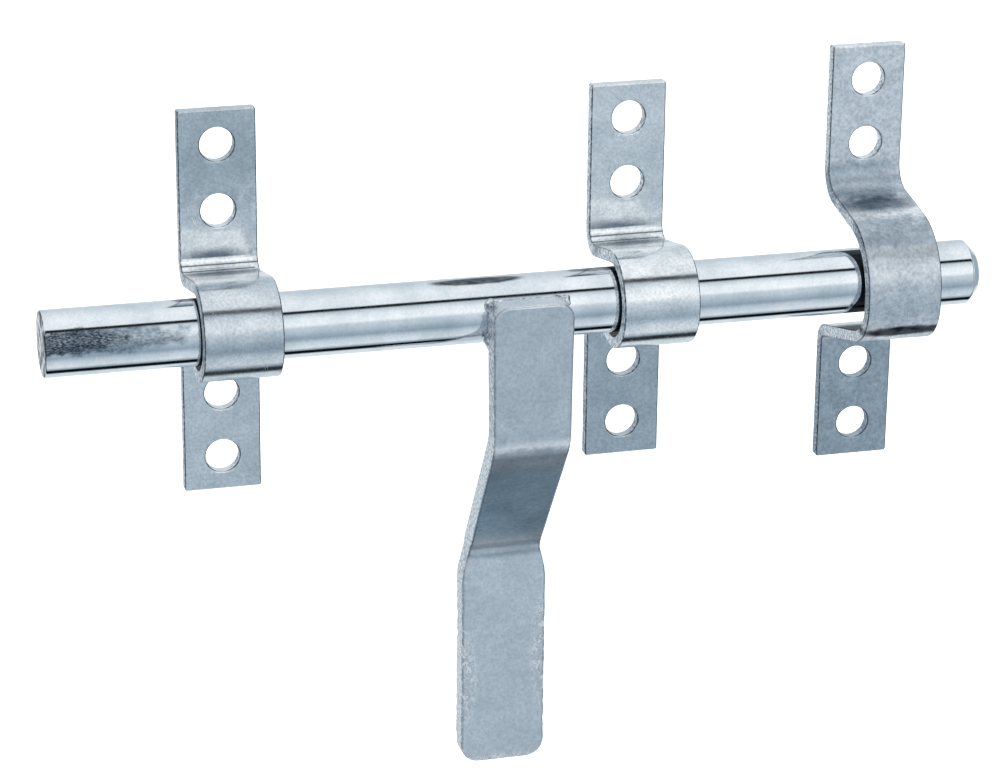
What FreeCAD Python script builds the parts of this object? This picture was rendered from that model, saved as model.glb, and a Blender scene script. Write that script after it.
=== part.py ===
import FreeCAD, Part
import math
import os

# Sliding door bolt: a round rod with a flat cranked handle welded across its front. Two straps
# screwed to the door guide the rod, and a third, roomier strap on the frame receives its tip.
#
# Frame, in millimetres: X runs along the rod and the bolt throws towards +X, Z is up, and the
# door's face is the plane Y = 0 with everything in front of it at Y < 0. The origin is at the
# centre of the inner guide strap, on the door's face. The bolt is modelled thrown, with its
# handle hanging down.

# ---- Driving dimensions ----

# Rod
ROD_DIAMETER = 16.0
ROD_LENGTH = 232.0
ROD_TAIL = 148.0            # from the inner guide's centre back to the blunt end
TIP_CHAMFER_LENGTH = 2.4
TIP_CHAMFER_DEPTH = 2.5
TAIL_CHAMFER = 0.5
ROD_STANDOFF = 22.5         # rod axis to the door's face

# Strap stock, punched and bent from one flat bar
STRAP_WIDTH = 19.0
STRAP_THICKNESS = 3.0
STRAP_CORNER_RADIUS = 0.8
HOLE_DIAMETER = 8.4
HOLE_PITCH = 16.4           # between the two holes of one leg
HOLE_EDGE = 8.6             # outer hole's centre to the end of the leg

# Guide straps, whose loop is a close ring around the rod
GUIDE_SPACING = 102.0       # outer guide's centre to the inner guide's centre
GUIDE_HEIGHT = 96.4
GUIDE_CLEARANCE = 1.0       # all round the rod
GUIDE_PINCH = 12.0          # degrees by which the ring closes in behind the rod
GUIDE_BEND_RADIUS = 3.0     # inside radius where a leg turns into the ring's neck

# Keeper strap, whose loop leaves the rod room above and below
KEEPER_POSITION = 62.0      # keeper's centre from the inner guide's centre
KEEPER_HEIGHT = 108.2
KEEPER_CLEARANCE = 1.2      # in front of the rod
KEEPER_ROOM_ABOVE = 3.9
KEEPER_ROOM_BELOW = 4.4
KEEPER_CROWN_RADIUS = 14.0  # inside radius of the loop's upper front
KEEPER_HEEL_RADIUS = 8.5    # inside radius of the loop's lower front
KEEPER_TOP_FLARE = 10.0     # degrees that the upper neck rises towards the door
KEEPER_BOTTOM_FLARE = 15.0  # degrees that the lower neck drops towards the door
KEEPER_TOP_BEND_RADIUS = 6.0
KEEPER_BOTTOM_BEND_RADIUS = 2.0

# Handle, bent from flat bar, drawn in at the crank and forged a little wider at the grip
HANDLE_POSITION = -32.6     # handle's centre from the inner guide's centre
HANDLE_WIDTH = 20.0         # at the upper end
HANDLE_NECK_WIDTH = 18.4    # at the second bend
GRIP_WIDTH = 21.6
HANDLE_THICKNESS = 6.0
HANDLE_TOP = 4.8            # rise of the handle's top end above the rod axis
HANDLE_SHANK_END = 30.5     # rod axis down to the first bend
HANDLE_CRANK_END = 67.0     # rod axis down to the second bend
HANDLE_CRANK_DEPTH = 25.0   # how far the grip is set back from the shank
HANDLE_DROP = 126.2         # rod axis down to the handle's lower end
HANDLE_BEND_RADIUS = 9.0    # at mid-thickness
HANDLE_TOP_CORNER = 4.0
GRIP_CORNER = 4.6
GRIP_SHOULDER = 8.0         # length over which the handle widens to the grip

# Fillet welds between the handle and the rod
WELD_GAP = 0.05             # hairline between the welded-on pieces and the rod
WELD_OVERRUN = 0.6          # how far a bead runs past the handle's edges
UPPER_BEAD_RADIUS = 2.0
UPPER_BEAD_HEIGHT = 2.7     # bead's centre above the rod axis
LOWER_BEAD_RADIUS = 3.2
LOWER_BEAD_DROP = 4.4       # bead's centre below the rod axis

# ---- Derived ----

ROD_RADIUS = ROD_DIAMETER / 2
AXIS_Y = -ROD_STANDOFF
LEG_Y = -STRAP_THICKNESS / 2                    # middle of a strap's leg
HANDLE_BACK_Y = AXIS_Y - ROD_RADIUS - WELD_GAP
SHANK_Y = HANDLE_BACK_Y - HANDLE_THICKNESS / 2  # middle of the handle's upper part
CUT = 100.0                                     # overlength of cutting tools


# ---- Bent strip: a flat bar followed along its bends, as a press brake makes it ----

def bent_strip(start, heading, moves, thickness, x_low, x_high):
    """Solid strip between x_low and x_high whose mid-line starts at (Y, Z) = start.

    heading is in degrees from +Y towards +Z. moves are ("line", length) and
    ("bend", radius, degrees), where a positive bend turns left and radius is the mid-line's.
    """
    y, z = start
    angle = math.radians(heading)
    half = thickness / 2
    left_edges = []
    right_edges = []

    def beside(py, pz, direction, offset):
        return FreeCAD.Vector(x_low, py - offset * math.sin(direction), pz + offset * math.cos(direction))

    for move in moves:
        if move[0] == "line":
            end_y = y + move[1] * math.cos(angle)
            end_z = z + move[1] * math.sin(angle)
            for offset, edges in ((half, left_edges), (-half, right_edges)):
                first = beside(y, z, angle, offset)
                last = beside(end_y, end_z, angle, offset)
                edges.append(Part.LineSegment(first, last).toShape())
        else:
            radius = move[1]
            turn = math.radians(move[2])
            side = math.copysign(1.0, turn)
            centre_y = y - side * radius * math.sin(angle)
            centre_z = z + side * radius * math.cos(angle)
            places = []
            for share in (0.0, 0.5, 1.0):
                direction = angle + turn * share
                places.append((centre_y + side * radius * math.sin(direction),
                               centre_z - side * radius * math.cos(direction),
                               direction))
            for offset, edges in ((half, left_edges), (-half, right_edges)):
                points = [beside(py, pz, direction, offset) for py, pz, direction in places]
                edges.append(Part.Arc(*points).toShape())
            end_y, end_z, angle = places[2]
        y, z = end_y, end_z

    def start_point(edge):
        return edge.valueAt(edge.FirstParameter)

    def end_point(edge):
        return edge.valueAt(edge.LastParameter)

    first_cap = Part.LineSegment(start_point(left_edges[0]), start_point(right_edges[0])).toShape()
    last_cap = Part.LineSegment(end_point(left_edges[-1]), end_point(right_edges[-1])).toShape()
    outline = Part.Wire(Part.__sortEdges__(left_edges + right_edges + [first_cap, last_cap]))
    return Part.Face(outline).extrude(FreeCAD.Vector(x_high - x_low, 0, 0))


# ---- Straps ----

def loop_corner(front, reach, arc_radius, flare, bend_radius):
    """Lengths of one quarter of a strap's loop, from the leg to the front of the loop.

    front and reach are the distances from the rod axis to the mid-line of the loop's front and
    of its neck, the neck being measured square to it. Returns the bend's height, the neck's
    straight length and the arc's height, all from the rod axis.
    """
    slope = math.radians(flare)
    bend_y = ROD_STANDOFF - STRAP_THICKNESS / 2 - bend_radius
    arc_y = arc_radius - front
    bend_height = (reach + bend_radius + bend_y * math.sin(slope)) / math.cos(slope)
    arc_height = (reach - arc_radius + arc_y * math.sin(slope)) / math.cos(slope)
    neck = (bend_y - arc_y) * math.cos(slope) + (bend_height - arc_height) * math.sin(slope)
    return bend_height, neck, arc_height


def screw_hole(x, z):
    centre = FreeCAD.Vector(x, -CUT, z)
    return Part.makeCylinder(HOLE_DIAMETER / 2, 2 * CUT, centre, FreeCAD.Vector(0, 1, 0))


def strap(x, height, front, top, bottom):
    """Strap centred at x. top and bottom are (reach, arc radius, flare, bend radius)."""
    upper_bend, upper_neck, upper_arc = loop_corner(front, *top)
    lower_bend, lower_neck, lower_arc = loop_corner(front, *bottom)
    leg_end = height / 2
    moves = [
        ("line", leg_end - upper_bend),
        ("bend", top[3], top[2] - 90),
        ("line", upper_neck),
        ("bend", top[1], 90 - top[2]),
        ("line", upper_arc + lower_arc),
        ("bend", bottom[1], 90 - bottom[2]),
        ("line", lower_neck),
        ("bend", bottom[3], bottom[2] - 90),
        ("line", leg_end - lower_bend),
    ]
    moves = [move for move in moves if move[1] > 1e-6]
    low = x - STRAP_WIDTH / 2
    high = x + STRAP_WIDTH / 2
    solid = bent_strip((LEG_Y, leg_end), -90, moves, STRAP_THICKNESS, low, high)
    for side in (1, -1):
        outer = side * (leg_end - HOLE_EDGE)
        inner = side * (leg_end - HOLE_EDGE - HOLE_PITCH)
        solid = solid.cut(screw_hole(x, outer)).cut(screw_hole(x, inner))
    corners = [edge for edge in solid.Edges if is_leg_corner(edge, leg_end)]
    return solid.makeFillet(STRAP_CORNER_RADIUS, corners)


def is_leg_corner(edge, leg_end):
    box = edge.BoundBox
    through_thickness = abs(box.YLength - STRAP_THICKNESS) < 1e-6 and box.XLength < 1e-6
    return through_thickness and abs(abs(box.Center.z) - leg_end) < 1e-6


def guide_strap(x):
    ring = ROD_RADIUS + GUIDE_CLEARANCE + STRAP_THICKNESS / 2
    bend = GUIDE_BEND_RADIUS + STRAP_THICKNESS / 2
    side = (ring, ring, -GUIDE_PINCH, bend)
    return strap(x, GUIDE_HEIGHT, ring, side, side)


def keeper_strap():
    half = STRAP_THICKNESS / 2
    front = ROD_RADIUS + KEEPER_CLEARANCE + half
    top = (ROD_RADIUS + KEEPER_ROOM_ABOVE + half, KEEPER_CROWN_RADIUS + half,
           KEEPER_TOP_FLARE, KEEPER_TOP_BEND_RADIUS + half)
    bottom = (ROD_RADIUS + KEEPER_ROOM_BELOW + half, KEEPER_HEEL_RADIUS + half,
              KEEPER_BOTTOM_FLARE, KEEPER_BOTTOM_BEND_RADIUS + half)
    return strap(KEEPER_POSITION, KEEPER_HEIGHT, front, top, bottom)


# ---- Rod ----

def rod():
    """Round bar along X, turned from its half section: blunt tail, chamfered tip."""
    tail = -ROD_TAIL
    tip = ROD_LENGTH - ROD_TAIL
    section = [
        (tail, 0.0),
        (tail, ROD_RADIUS - TAIL_CHAMFER),
        (tail + TAIL_CHAMFER, ROD_RADIUS),
        (tip - TIP_CHAMFER_LENGTH, ROD_RADIUS),
        (tip, ROD_RADIUS - TIP_CHAMFER_DEPTH),
        (tip, 0.0),
    ]
    points = [FreeCAD.Vector(x, AXIS_Y, r) for x, r in section]
    face = Part.Face(Part.makePolygon(points + [points[0]]))
    return face.revolve(FreeCAD.Vector(0, AXIS_Y, 0), FreeCAD.Vector(1, 0, 0), 360)


# ---- Handle ----

def handle():
    """Cranked flat bar: the side view gives the bends, the front view gives the widths."""
    fall = HANDLE_CRANK_END - HANDLE_SHANK_END
    slant = math.atan2(HANDLE_CRANK_DEPTH, fall)
    set_in = HANDLE_BEND_RADIUS * math.tan(slant / 2)
    moves = [
        ("line", HANDLE_TOP + HANDLE_SHANK_END - set_in),
        ("bend", HANDLE_BEND_RADIUS, math.degrees(slant)),
        ("line", math.hypot(fall, HANDLE_CRANK_DEPTH) - 2 * set_in),
        ("bend", HANDLE_BEND_RADIUS, -math.degrees(slant)),
        ("line", HANDLE_DROP - HANDLE_CRANK_END - set_in),
    ]
    low = HANDLE_POSITION - GRIP_WIDTH / 2
    high = HANDLE_POSITION + GRIP_WIDTH / 2
    bar = bent_strip((SHANK_Y, HANDLE_TOP), -90, moves, HANDLE_THICKNESS, low, high)
    return bar.common(handle_front_view())


def handle_front_view():
    """Block of the handle's outline from the front: rounded ends, narrow neck, wide grip."""
    shoulder_top = -HANDLE_CRANK_END
    shoulder_bottom = shoulder_top - GRIP_SHOULDER
    grip = GRIP_WIDTH / 2
    right_side = [
        (HANDLE_WIDTH / 2, HANDLE_TOP),
        (HANDLE_NECK_WIDTH / 2, shoulder_top),
        (grip, shoulder_bottom),
        (grip, -HANDLE_DROP),
    ]
    outline = right_side + [(-x, z) for x, z in reversed(right_side)]
    points = [FreeCAD.Vector(HANDLE_POSITION + x, -CUT, z) for x, z in outline]
    block = Part.Face(Part.makePolygon(points + [points[0]])).extrude(FreeCAD.Vector(0, 2 * CUT, 0))
    for height, radius in ((HANDLE_TOP, HANDLE_TOP_CORNER), (-HANDLE_DROP, GRIP_CORNER)):
        corners = [edge for edge in block.Edges if is_end_corner(edge, height)]
        block = block.makeFillet(radius, corners)
    return block


def is_end_corner(edge, height):
    box = edge.BoundBox
    return box.YLength > CUT and abs(box.Center.z - height) < 1e-6


# ---- Welds ----

def weld_bead(radius, z):
    """Rounded bead that fills the wedge between the handle's flat back and the round rod."""
    run = HANDLE_WIDTH + 2 * WELD_OVERRUN
    start = FreeCAD.Vector(HANDLE_POSITION - run / 2, HANDLE_BACK_Y + radius / 3, z)
    along = FreeCAD.Vector(1, 0, 0)
    bead = Part.makeCylinder(radius, run, start, along)
    rod_start = FreeCAD.Vector(-ROD_TAIL, AXIS_Y, 0)
    bead = bead.cut(Part.makeCylinder(ROD_RADIUS + WELD_GAP, ROD_LENGTH, rod_start, along))
    in_front = FreeCAD.Vector(start.x - CUT, HANDLE_BACK_Y - CUT, -CUT)
    bead = bead.cut(Part.makeBox(run + 2 * CUT, CUT, 2 * CUT, in_front))
    return max(bead.Solids, key=lambda piece: piece.Volume)


nodes = {
    "slide_rod": rod(),
    "drop_handle": handle(),
    "weld_bead_upper": weld_bead(UPPER_BEAD_RADIUS, UPPER_BEAD_HEIGHT),
    "weld_bead_lower": weld_bead(LOWER_BEAD_RADIUS, -LOWER_BEAD_DROP),
    "guide_strap_outer": guide_strap(-GUIDE_SPACING),
    "guide_strap_inner": guide_strap(0.0),
    "keeper_strap": keeper_strap(),
}

os.makedirs("parts", exist_ok=True)
for name, shape in nodes.items():
    assert shape.isValid() and shape.Volume > 0, name
    shape.exportStep("parts/" + name + ".step")
    box = shape.BoundBox
    print(f"{name}: {len(shape.Solids)} solid, {shape.Volume:.0f} mm3, "
          f"X {box.XMin:.1f}..{box.XMax:.1f} Y {box.YMin:.1f}..{box.YMax:.1f} Z {box.ZMin:.1f}..{box.ZMax:.1f}")
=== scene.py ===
# %% [markdown]
# # A sliding door bolt in zinc-plated steel
# A round bar slides in two bent straps and is thrown into a third, the keeper. A flat, cranked
# handle is welded across its front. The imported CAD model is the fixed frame. Each visible piece
# is built here with the rounded edges, bends and small unevenness of real hardware, in the
# place and size that the frame gives, and then stands for its CAD node.

import math

import bmesh
import bpy
from mathutils import Matrix, Vector, noise


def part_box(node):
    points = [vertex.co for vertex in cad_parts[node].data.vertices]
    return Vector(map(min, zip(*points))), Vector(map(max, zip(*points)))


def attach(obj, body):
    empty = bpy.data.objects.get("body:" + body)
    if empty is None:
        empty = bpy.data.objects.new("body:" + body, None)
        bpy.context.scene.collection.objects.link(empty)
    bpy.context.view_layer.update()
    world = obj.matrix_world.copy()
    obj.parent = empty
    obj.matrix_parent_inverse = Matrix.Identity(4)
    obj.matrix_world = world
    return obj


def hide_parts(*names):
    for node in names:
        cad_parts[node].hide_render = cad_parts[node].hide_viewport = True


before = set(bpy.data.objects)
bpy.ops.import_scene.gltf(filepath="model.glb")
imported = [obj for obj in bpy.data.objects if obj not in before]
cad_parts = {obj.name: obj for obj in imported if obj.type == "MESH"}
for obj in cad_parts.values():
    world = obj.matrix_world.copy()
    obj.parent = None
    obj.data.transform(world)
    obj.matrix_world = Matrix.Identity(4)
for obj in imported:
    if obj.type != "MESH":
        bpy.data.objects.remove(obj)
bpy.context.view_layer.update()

# %% [markdown]
# ## Places and sizes
# Whatever can be measured on the frame is read from it: the rod's axis and radius, each strap's
# centre, width and height. The loop shapes and the handle's bends aren't in a bounding box, so
# they are named here, in millimetres, as the maker's drawing would give them.

# %% Sizes read from the frame
MM = 0.001

rod_low, rod_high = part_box("slide_rod")
ROD_RADIUS = (rod_high[2] - rod_low[2]) / 2
AXIS_Y = (rod_high[1] + rod_low[1]) / 2
STANDOFF = -AXIS_Y
print(f"rod: {ROD_RADIUS * 2000:.1f} mm across, {(rod_high[0] - rod_low[0]) * 1000:.0f} mm long")

# %% Sizes named by the drawing
STRAP_THICKNESS = 3.0 * MM
HOLE_DIAMETER = 8.4 * MM
HOLE_PITCH = 16.4 * MM
HOLE_EDGE = 8.6 * MM
HANDLE_THICKNESS = 6.0 * MM
HANDLE_WIDTH = 20.0 * MM
HANDLE_NECK_WIDTH = 18.4 * MM
SHANK_END = 30.5 * MM
CRANK_END = 67.0 * MM
CRANK_DEPTH = 25.0 * MM
HANDLE_BEND_RADIUS = 9.0 * MM
WELD_GAP = 0.05 * MM

# %% [markdown]
# ## Camera
# The bolt is seen from its left and from above, with a long lens, so the rod hardly tapers.
# The camera is placed by the angles of its view line and its distance from the point it looks
# at. That is easier to read and to change than a matrix of numbers.

# %% Place the camera
VIEW_AZIMUTH = math.radians(15.24)    # the view line turns this much from +Y towards +X
VIEW_DROP = math.radians(20.40)       # and dips this much below the horizon
VIEW_ROLL = math.radians(0.57)
VIEW_DISTANCE = 0.849
VIEW_TARGET = Vector((-0.0371, -0.0223, -0.0214))

forward = Vector((math.sin(VIEW_AZIMUTH) * math.cos(VIEW_DROP),
                  math.cos(VIEW_AZIMUTH) * math.cos(VIEW_DROP),
                  -math.sin(VIEW_DROP)))
level_right = Vector((math.cos(VIEW_AZIMUTH), -math.sin(VIEW_AZIMUTH), 0.0))
level_up = level_right.cross(forward)
right = level_right * math.cos(VIEW_ROLL) + level_up * math.sin(VIEW_ROLL)
up = right.cross(forward)

camera_data = bpy.data.cameras.new("camera")
camera_data.sensor_width = 36.0
camera_data.lens = 126.0
camera = bpy.data.objects.new("camera", camera_data)
bpy.context.scene.collection.objects.link(camera)
turn = Matrix((right, up, -forward)).transposed().to_4x4()
camera.matrix_world = Matrix.Translation(VIEW_TARGET - forward * VIEW_DISTANCE) @ turn
bpy.context.scene.camera = camera
print("camera at", tuple(round(v, 3) for v in camera.matrix_world.translation))

# %% [markdown]
# ## Colour and node helpers
# Colours are written as sRGB hex, the way a paint chart or a picture gives them, and one
# function makes them linear, as the renderer needs. One function adds a shader or geometry
# node with its settings and its links, so that a material reads as a list of steps. The nodes
# that come up again and again have a short name, which keeps such a step on one line.


# %% Helpers
def linear(hex_colour):
    """Linear RGBA from an sRGB hex such as "9FACB7"."""
    channels = [int(hex_colour[i:i + 2], 16) / 255 for i in (0, 2, 4)]
    curve = [c / 12.92 if c <= 0.04045 else ((c + 0.055) / 1.055) ** 2.4 for c in channels]
    return (*curve, 1.0)


def hold(name, data):
    """Object for a mesh or curve, linked to the scene."""
    held = bpy.data.objects.new(name, data)
    bpy.context.scene.collection.objects.link(held)
    return held


def live_output(node):
    """The first output that the node's settings leave in use."""
    return next(output for output in node.outputs if output.enabled)


def add_node(tree, kind, settings=None, inputs=None):
    """New node. inputs maps an input's name or number to a value, or to what it is linked from.

    A list fills the first inputs in order. A node is linked from its first live output.
    """
    node = tree.nodes.new(kind)
    for key, value in (settings or {}).items():
        setattr(node, key, value)
    given = inputs.items() if isinstance(inputs, dict) else enumerate(inputs or [])
    for key, value in given:
        socket = node.inputs[key]
        if isinstance(value, bpy.types.Node):
            value = live_output(value)
        if isinstance(value, bpy.types.NodeSocket):
            tree.links.new(value, socket)
        else:
            socket.default_value = value
    return node


# The nodes used most, each with its setting, to be spread into add_node with a star.
BLEND = ("ShaderNodeMix", {"data_type": "RGBA"})
BETWEEN = ("ShaderNodeMapRange", {})
ADD, SUBTRACT, MULTIPLY, DIVIDE, MULTIPLY_ADD, LARGER, ABSOLUTE, SIGN = (
    ("ShaderNodeMath", {"operation": operation}) for operation in
    ("ADD", "SUBTRACT", "MULTIPLY", "DIVIDE", "MULTIPLY_ADD", "MAXIMUM", "ABSOLUTE", "SIGN"))
V_ADD, V_SUBTRACT, V_MULTIPLY, V_DIVIDE, V_SCALE, V_LENGTH = (
    ("ShaderNodeVectorMath", {"operation": operation}) for operation in
    ("ADD", "SUBTRACT", "MULTIPLY", "DIVIDE", "SCALE", "LENGTH"))

# %% [markdown]
# ## Studio
# Bright metal shows its surroundings more than itself. A product studio for it is a white tent
# with a few dark edges: white above, a thin dark line where the tent's top meets its front, a
# mid-grey front, a paler table and a dark gap below. All of these run parallel to the rod, so
# they draw the long straight lines along it. The sky colour is looked up by the angle around
# the X axis, which is all that such a tent needs. The pale floor only fills the view: it lies
# far below, glows a little and is hidden from reflections.

# %% Light tent
# Angle around X in degrees (0 is towards the viewer, 90 is up, -90 is down) and brightness.
TENT = [
    (-180, "CED6DC"), (-150, "DAE1E6"), (-108, "D9E0E5"), (-103, "66737E"), (-101, "070A0D"),
    (-87, "070A0D"), (-84, "8C9CA9"), (-72, "DCE2E7"), (-50, "C6CFD6"), (-34, "93A3B0"),
    (-22, "A6B4BF"), (-8, "BFCAD2"), (4, "CED6DC"), (14, "FAFCFD"), (34, "F2F6F8"),
    (50, "CBD2D8"), (53, "8E9BA6"), (55, "050709"), (62, "050709"), (65, "EDF1F4"),
    (96, "F1F4F6"), (128, "DDE3E7"), (158, "CBD3D9"), (180, "CED6DC"),
]
TENT_LIGHT = 1.18
# A grey card stands at each side. The cards give rounded edges their outlines.
CARD_NEAR, CARD_FAR = 0.76, 0.95    # how far the cards reach along X, as a share of the sky
NEAR_BLUR, FAR_BLUR = 0.06, 0.02    # how softly they begin and end
LEFT_CARD, RIGHT_CARD = "93A0AB", "9AA6B0"

world = bpy.data.worlds.new("light_tent")
bpy.context.scene.world = world
world.use_nodes = True
tent = world.node_tree
tent.nodes.clear()
direction = add_node(tent, "ShaderNodeTexCoord").outputs["Generated"]
parts = add_node(tent, "ShaderNodeSeparateXYZ", inputs=[direction]).outputs
toward_viewer = add_node(tent, *MULTIPLY, [parts["Y"], -1.0])
angle = add_node(tent, "ShaderNodeMath", {"operation": "ARCTAN2"}, [parts["Z"], toward_viewer])
share = add_node(tent, *BETWEEN, [angle, -math.pi, math.pi])


def tone_ramp(amount, stops):
    """Colour ramp over an amount from 0 to 1. stops are (place, linear colour)."""
    ramp = add_node(tent, "ShaderNodeValToRGB", inputs=[amount])
    elements = ramp.color_ramp.elements
    for number, (place, colour) in enumerate(stops):
        stop = elements[number] if number < 2 else elements.new(place)
        stop.position = place
        stop.color = colour
    return ramp


bands = tone_ramp(share, [((degrees + 180) / 360, linear(tone)) for degrees, tone in TENT])
sideways = add_node(tent, *ABSOLUTE, [parts["X"]])
BLACK, WHITE = (0, 0, 0, 1), (1, 1, 1, 1)
card = tone_ramp(sideways, [(CARD_NEAR - NEAR_BLUR, BLACK), (CARD_NEAR, WHITE),
                            (CARD_FAR - FAR_BLUR, WHITE), (CARD_FAR, BLACK)])
is_right = add_node(tent, "ShaderNodeMath", {"operation": "GREATER_THAN"}, [parts["X"], 0.0])
card_tone = add_node(tent, *BLEND, {0: is_right, 6: linear(LEFT_CARD), 7: linear(RIGHT_CARD)})
carded = add_node(tent, *BLEND, {0: card, 6: bands, 7: card_tone})
seen = add_node(tent, "ShaderNodeLightPath").outputs["Is Camera Ray"]
sky = add_node(tent, *BLEND, {0: seen, 6: carded, 7: WHITE})
lamp = add_node(tent, "ShaderNodeBackground", inputs=[sky, TENT_LIGHT])
add_node(tent, "ShaderNodeOutputWorld", inputs=[lamp])
bpy.context.scene.view_settings.view_transform = "Standard"
print("light tent of", len(TENT), "bands")

# %% Pale floor
FLOOR_DROP = 0.30
FLOOR_REACH = 6.0
floor_mesh = bpy.data.meshes.new("floor")
corners = [(x * FLOOR_REACH, y * FLOOR_REACH, -FLOOR_DROP) for x, y in ((-1, -1), (1, -1), (1, 1), (-1, 1))]
floor_mesh.from_pydata(corners, [], [(0, 1, 2, 3)])
floor = hold("floor", floor_mesh)
floor_paint = bpy.data.materials.new("white_backlit_acrylic")
floor_paint.use_nodes = True
floor_shader = floor_paint.node_tree.nodes["Principled BSDF"]
floor_shader.inputs["Base Color"].default_value = (0.9, 0.9, 0.9, 1)
floor_shader.inputs["Roughness"].default_value = 1.0
floor_shader.inputs["Emission Color"].default_value = (1, 1, 1, 1)
floor_shader.inputs["Emission Strength"].default_value = 0.9
floor_mesh.materials.append(floor_paint)
floor.visible_glossy = False
floor.visible_diffuse = False

# %% [markdown]
# ## Zinc plate
# Every piece is mild steel, electroplated with zinc and passivated clear to blue. Bright zinc
# on smooth drawn bar is close to a mirror. On rolled and forged flat bar the scale and the
# pickling leave the steel finely pitted, so the plating over it is satin and cloudy. Four
# things tell the eye this: a cool grey-blue metal colour, soft clouds in it, a fine grain that
# blurs reflections, and stray scratches that shine lighter. A metal keeps the default IOR.
#
# Each of these is a layer here, with its own short function, and a finish is a stack of
# layers. The five finishes then differ only in which layers they have and in their sizes,
# which are real millimetres. Each pattern reads object coordinates, which sit still on the
# piece when it moves.


# %% Pattern nodes
def pattern(finish, size_mm, stretch=(1, 1, 1), turn=(0, 0, 0), place=(0, 0, 0), detail=2.0):
    """Noise from 0 to 1 whose features are size_mm across, times stretch along each axis."""
    tree = finish["tree"]
    scale = [1.0 / (size_mm * MM * along) for along in stretch]
    turned = add_node(tree, "ShaderNodeMapping", {"vector_type": "TEXTURE"},
                      {"Vector": finish["place"], "Rotation": turn, "Location": place})
    sized = add_node(tree, *V_MULTIPLY, [turned, scale])
    return add_node(tree, "ShaderNodeTexNoise", inputs={"Vector": sized, "Scale": 1.0, "Detail": detail,
                                                        "Roughness": 0.55})


def share_of(finish, amount, low, high, at_low=0.0, at_high=1.0):
    """How far an amount has come from low to high, from at_low to at_high."""
    return add_node(finish["tree"], *BETWEEN, [amount, low, high, at_low, at_high])


def product(finish, *amounts):
    """Amounts multiplied: it is 1 only where all of them are."""
    result = amounts[0]
    for amount in amounts[1:]:
        result = add_node(finish["tree"], *MULTIPLY, [result, amount])
    return result


def from_centre(finish, centre, radii_mm):
    """Distance from a centre, where 1 is the surface of an ellipsoid with these radii."""
    tree = finish["tree"]
    offset = add_node(tree, *V_SUBTRACT, [finish["place"], centre])
    sized = add_node(tree, *V_DIVIDE, [offset, [radius * MM for radius in radii_mm]])
    return add_node(tree, *V_LENGTH, [sized])


# %% Steps that every layer is made of
def raise_by(finish, amount, depth_mm):
    """Adds relief: depth_mm high where amount is 1."""
    finish["height"] = add_node(finish["tree"], *MULTIPLY_ADD, [amount, depth_mm * MM, finish["height"]])


def tint(finish, amount, tone):
    """Lays a tone over the colour, as much as amount says."""
    finish["colour"] = add_node(finish["tree"], *BLEND, {0: amount, 6: finish["colour"], 7: tone})


def roughen(finish, amount, rougher):
    """Adds to the roughness, as much as amount says."""
    finish["rough"] = add_node(finish["tree"], *MULTIPLY_ADD, [amount, rougher, finish["rough"]])


def at_least_rough(finish, roughness):
    """Keeps the rougher of what is there and this."""
    finish["rough"] = add_node(finish["tree"], *LARGER, [finish["rough"], roughness])


# %% Layers of a zinc finish
def zinc(name, bright, dull, roughness, cloud_mm):
    """Starts a finish: clouds between two tones, and rougher where they are dull."""
    material = bpy.data.materials.new(name)
    material.use_nodes = True
    tree = material.node_tree
    coordinates = add_node(tree, "ShaderNodeTexCoord").outputs
    finish = {"material": material, "tree": tree, "place": coordinates["Object"],
              "normal": coordinates["Normal"], "height": 0.0, "colour": linear(dull)}
    clouds = pattern(finish, cloud_mm, detail=4.0)
    tint(finish, share_of(finish, clouds, 0.35, 0.65), linear(bright))
    finish["rough"] = share_of(finish, clouds, 0.3, 0.7, roughness * 1.2, roughness * 0.8)
    return finish


def grain(finish, size_mm, depth_mm, speckle):
    """Fine pitting that stands as relief and as small light and dark specks."""
    pits = pattern(finish, size_mm, detail=3.0)
    raise_by(finish, pits, depth_mm)
    tone = share_of(finish, pits, 0.3, 0.7, 1.0 - speckle, 1.0 + speckle)
    finish["colour"] = add_node(finish["tree"], *V_SCALE, {0: finish["colour"], "Scale": tone})


def drawn_lines(finish, size_mm, length, depth_mm):
    """Fine lines along X, from the die that the bar was drawn through."""
    raise_by(finish, pattern(finish, size_mm, stretch=(length, 1, 1)), depth_mm)


def scratches(finish, angles, share):
    """A few bright scratches that lie in the piece's face, in loose groups."""
    for number, degrees in enumerate(angles):
        tilted = (0.0, math.radians(degrees), 0.0)
        away = (0.07 * number + 0.01, 0.0, 0.05 * number)
        fine = pattern(finish, 0.25, stretch=(16, 16, 1), turn=tilted, place=away, detail=0.0)
        group = pattern(finish, 5.0, place=away, detail=1.0)
        line = share_of(finish, fine, 0.72, 0.78)
        here = share_of(finish, group, 0.66 - share, 0.72 - share)
        mark = product(finish, line, here)
        tint(finish, mark, linear("FFFFFF"))
        at_least_rough(finish, product(finish, mark, 0.5))


def rough_sides(finish, dark, light, size_mm, depth_mm, left_only=False):
    """Torn, mottled metal on the sides that face along X, where the bar was sheared or sawn."""
    tree = finish["tree"]
    facing = add_node(tree, "ShaderNodeSeparateXYZ", inputs=[finish["normal"]]).outputs["X"]
    turned = product(finish, facing, -1.0) if left_only else add_node(tree, *ABSOLUTE, [facing])
    side = share_of(finish, turned, 0.45, 0.8)
    torn = pattern(finish, size_mm, detail=4.0)
    torn_share = share_of(finish, torn, 0.38, 0.62)
    mottle = add_node(tree, *BLEND, {0: torn_share, 6: linear(dark), 7: linear(light)})
    tint(finish, side, mottle)
    at_least_rough(finish, product(finish, side, 0.42))
    raise_by(finish, product(finish, torn, side), depth_mm)


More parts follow.
